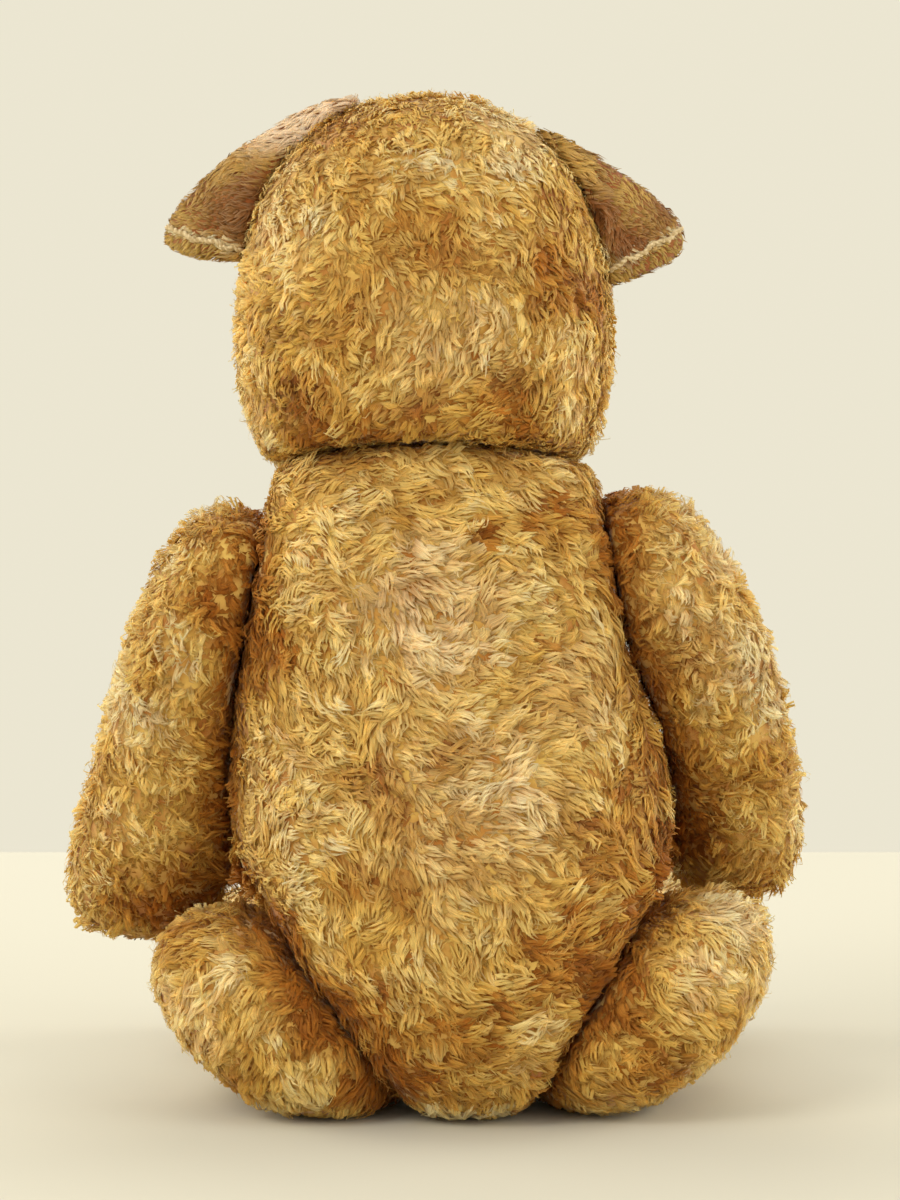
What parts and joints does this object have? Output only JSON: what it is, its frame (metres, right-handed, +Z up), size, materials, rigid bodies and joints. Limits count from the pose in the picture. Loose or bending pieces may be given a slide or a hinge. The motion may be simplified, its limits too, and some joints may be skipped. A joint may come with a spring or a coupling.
{
  "type": "teddy bear",
  "caption": "Large antique jointed teddy bear with worn, curly golden plush, seated, with a turning head and swinging arms and legs on disc joints.",
  "frame": {"origin": "middle of the flat seat under the trunk, on the surface the bear sits on", "axes": "+Z up; the bear faces -Y; +X is the bear's left"},
  "size_m": [0.3723, 0.3202, 0.498],
  "materials": {
    "plush": "worn curly mohair pile, faded and soiled",
    "ear_plush": "short worn pile",
    "stuffing": "packed wood wool",
    "fibreboard": "pressed board",
    "steel": "dull steel",
    "boot_button": "black, slightly scuffed",
    "wool": "stitched wool yarn",
    "felt": "worn wool felt"
  },
  "bodies": {
    "torso": {"body_cover": "plush", "body_stuffing": "stuffing", "neck_body_disc": "fibreboard", "neck_body_washer": "steel", "neck_pin": "steel", "left_shoulder_body_disc": "fibreboard", "left_shoulder_body_washer": "steel", "left_shoulder_pin": "steel", "right_shoulder_body_disc": "fibreboard", "right_shoulder_body_washer": "steel", "right_shoulder_pin": "steel", "left_hip_body_disc": "fibreboard", "left_hip_body_washer": "steel", "left_hip_pin": "steel", "right_hip_body_disc": "fibreboard", "right_hip_body_washer": "steel", "right_hip_pin": "steel"},
    "head": {"head_cover": "plush", "head_stuffing": "stuffing", "left_ear": "ear_plush", "right_ear": "ear_plush", "left_eye": "boot_button", "right_eye": "boot_button", "nose": "wool", "mouth": "wool", "neck_head_disc": "fibreboard", "neck_head_washer": "steel"},
    "left_arm": {"left_arm_cover": "plush", "left_arm_stuffing": "stuffing", "left_paw_pad": "felt", "left_shoulder_arm_disc": "fibreboard", "left_shoulder_arm_washer": "steel"},
    "right_arm": {"right_arm_cover": "plush", "right_arm_stuffing": "stuffing", "right_paw_pad": "felt", "right_shoulder_arm_disc": "fibreboard", "right_shoulder_arm_washer": "steel"},
    "left_leg": {"left_leg_cover": "plush", "left_leg_stuffing": "stuffing", "left_foot_pad": "felt", "left_hip_leg_disc": "fibreboard", "left_hip_leg_washer": "steel"},
    "right_leg": {"right_leg_cover": "plush", "right_leg_stuffing": "stuffing", "right_foot_pad": "felt", "right_hip_leg_disc": "fibreboard", "right_hip_leg_washer": "steel"}
  },
  "joints": [
    {"name": "neck", "type": "hinge", "parent": "torso", "child": "head", "pos_m": [0.0195, 0, 0.319], "axis": [0, -0.2079, 0.9781], "continuous": true},
    {"name": "left_shoulder", "type": "hinge", "parent": "torso", "child": "left_arm", "pos_m": [0.1039, -0.004, 0.265], "axis": [-0.9833, 0, -0.1822], "range_deg": [0, 100]},
    {"name": "right_shoulder", "type": "hinge", "parent": "torso", "child": "right_arm", "pos_m": [-0.0678, -0.004, 0.2728], "axis": [-0.9833, 0, 0.1822], "range_deg": [0, 100]},
    {"name": "left_hip", "type": "hinge", "parent": "torso", "child": "left_leg", "pos_m": [0.0634, -0.006, 0.0537], "axis": [-0.7997, 0, 0.6004], "range_deg": [-25, 10]},
    {"name": "right_hip", "type": "hinge", "parent": "torso", "child": "right_leg", "pos_m": [-0.0574, -0.006, 0.0561], "axis": [-0.859, 0, -0.512], "range_deg": [-25, 8]}
  ]
}
